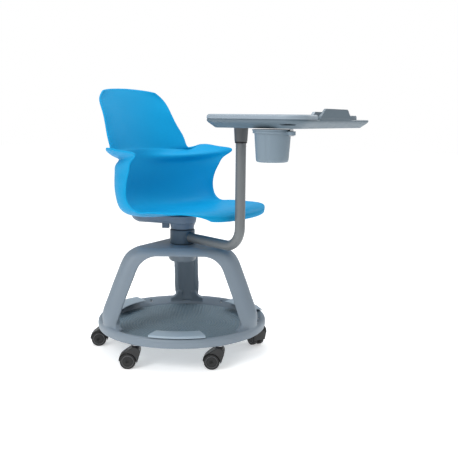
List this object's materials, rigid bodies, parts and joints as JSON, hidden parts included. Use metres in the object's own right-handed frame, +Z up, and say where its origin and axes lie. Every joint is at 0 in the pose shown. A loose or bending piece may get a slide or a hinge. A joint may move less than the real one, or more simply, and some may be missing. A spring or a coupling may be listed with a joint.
{
  "type": "student desk chair",
  "caption": "Swivel seat shell on an open caster base with a storage tray, a swinging arm with a turning worksurface, and a swing-out cup holder",
  "frame": {"origin": "centre of the footprint's bounding rectangle, on the floor (the seat swivel axis stands at x 9.3 mm, y 140.1 mm)", "axes": "+Z up, the sitter faces -Y, the sitter's left is +X"},
  "size_m": [0.588, 0.844, 0.8609],
  "materials": {
    "seat_blue": "fine satin moulded texture, bright blue",
    "base_grey": "satin blue-grey moulded plastic",
    "lip_grey": "lighter satin blue-grey moulded plastic",
    "surface_grey": "fine-textured light blue-grey work top",
    "trim_grey": "satin blue-grey moulded plastic",
    "collar_grey": "dark blue-grey moulded plastic",
    "arm_grey": "warm grey powder coat",
    "sleeve_grey": "warm grey moulded plastic",
    "black_plastic": "black moulded nylon",
    "caster_black": "black nylon",
    "steel": "zinc-plated steel"
  },
  "bodies": {
    "base": {"base_frame": "base_grey", "storage_tray": "base_grey", "tray_clips": "black_plastic", "entry_lip_1": "lip_grey", "entry_lip_2": "lip_grey", "entry_lip_3": "lip_grey", "hub_post": "steel", "hub_thrust_washer": "black_plastic", "hub_nut": "steel", "hub_retaining_ring": "steel"},
    "seat": {"seat_shell": "seat_blue", "under_seat_pan": "base_grey", "seat_neck": "collar_grey", "seat_bush": "black_plastic", "seat_screws": "steel"},
    "arm": {"arm_collar": "collar_grey", "collar_bushes": "black_plastic", "collar_top_washer": "black_plastic", "arm_tube": "arm_grey", "pivot_stem": "steel", "pivot_ring": "black_plastic"},
    "worksurface": {"worksurface_shell": "trim_grey", "worksurface_top": "surface_grey", "pivot_sleeve": "sleeve_grey", "sleeve_bush": "black_plastic", "sleeve_screws": "steel", "shell_screws": "steel", "cup_pivot_pin": "steel"},
    "cup_holder": {"cup_bracket": "base_grey", "cup": "base_grey"},
    "caster1_swivel": {"caster1_stem": "steel", "caster1_hood": "caster_black"},
    "caster1_wheels": {"caster1_axle": "steel", "caster1_wheel_a": "caster_black", "caster1_wheel_b": "caster_black"},
    "caster2_swivel": {"caster2_stem": "steel", "caster2_hood": "caster_black"},
    "caster2_wheels": {"caster2_axle": "steel", "caster2_wheel_a": "caster_black", "caster2_wheel_b": "caster_black"},
    "caster3_swivel": {"caster3_stem": "steel", "caster3_hood": "caster_black"},
    "caster3_wheels": {"caster3_axle": "steel", "caster3_wheel_a": "caster_black", "caster3_wheel_b": "caster_black"},
    "caster4_swivel": {"caster4_stem": "steel", "caster4_hood": "caster_black"},
    "caster4_wheels": {"caster4_axle": "steel", "caster4_wheel_a": "caster_black", "caster4_wheel_b": "caster_black"},
    "caster5_swivel": {"caster5_stem": "steel", "caster5_hood": "caster_black"},
    "caster5_wheels": {"caster5_axle": "steel", "caster5_wheel_a": "caster_black", "caster5_wheel_b": "caster_black"},
    "caster6_swivel": {"caster6_stem": "steel", "caster6_hood": "caster_black"},
    "caster6_wheels": {"caster6_axle": "steel", "caster6_wheel_a": "caster_black", "caster6_wheel_b": "caster_black"}
  },
  "joints": [
    {"name": "seat_swivel", "type": "hinge", "parent": "base", "child": "seat", "pos_m": [0.00926, 0.14012, 0.43], "axis": [0, 0, 1], "continuous": true},
    {"name": "arm_swing", "type": "hinge", "parent": "seat", "child": "arm", "pos_m": [0.00926, 0.14012, 0.378], "axis": [0, 0, 1], "range_deg": [-60, 45]},
    {"name": "worksurface_pivot", "type": "hinge", "parent": "arm", "child": "worksurface", "pos_m": [-0.06005, -0.13787, 0.72], "axis": [0, 0, 1], "range_deg": [-60, 90]},
    {"name": "cup_holder_swing", "type": "hinge", "parent": "worksurface", "child": "cup_holder", "pos_m": [-0.16586, -0.37098, 0.733], "axis": [0, 0, 1], "range_deg": [0, 150]},
    {"name": "caster1_turn", "type": "hinge", "parent": "base", "child": "caster1_swivel", "pos_m": [-0.24975, 0.11746, 0.08], "axis": [0, 0, 1], "continuous": true},
    {"name": "caster1_roll", "type": "hinge", "parent": "caster1_swivel", "child": "caster1_wheels", "pos_m": [-0.26359, 0.13583, 0.025], "axis": [-0.7986, -0.6018, 0], "continuous": true},
    {"name": "caster2_turn", "type": "hinge", "parent": "base", "child": "caster2_swivel", "pos_m": [-0.10062, -0.09552, 0.08], "axis": [0, 0, 1], "continuous": true},
    {"name": "caster2_roll", "type": "hinge", "parent": "caster2_swivel", "child": "caster2_wheels", "pos_m": [-0.11247, -0.07581, 0.025], "axis": [-0.8572, -0.515, 0], "continuous": true},
    {"name": "caster3_turn", "type": "hinge", "parent": "base", "child": "caster3_swivel", "pos_m": [0.15839, -0.07286, 0.08], "axis": [0, 0, 1], "continuous": true},
    {"name": "caster3_roll", "type": "hinge", "parent": "caster3_swivel", "child": "caster3_wheels", "pos_m": [0.16847, -0.05219, 0.025], "axis": [-0.8988, 0.4384, 0], "continuous": true},
    {"name": "caster4_turn", "type": "hinge", "parent": "base", "child": "caster4_swivel", "pos_m": [0.26827, 0.16278, 0.08], "axis": [0, 0, 1], "continuous": true},
    {"name": "caster4_roll", "type": "hinge", "parent": "caster4_swivel", "child": "caster4_wheels", "pos_m": [0.25965, 0.1841, 0.025], "axis": [-0.9272, -0.3746, 0], "continuous": true},
    {"name": "caster5_turn", "type": "hinge", "parent": "base", "child": "caster5_swivel", "pos_m": [0.11914, 0.37576, 0.08], "axis": [0, 0, 1], "continuous": true},
    {"name": "caster5_roll", "type": "hinge", "parent": "caster5_swivel", "child": "caster5_wheels", "pos_m": [0.10205, 0.39115, 0.025], "axis": [-0.6691, -0.7431, 0], "continuous": true},
    {"name": "caster6_turn", "type": "hinge", "parent": "base", "child": "caster6_swivel", "pos_m": [-0.13987, 0.3531, 0.08], "axis": [0, 0, 1], "continuous": true},
    {"name": "caster6_roll", "type": "hinge", "parent": "caster6_swivel", "child": "caster6_wheels", "pos_m": [-0.15496, 0.37045, 0.025], "axis": [-0.7547, -0.6561, 0], "continuous": true}
  ]
}
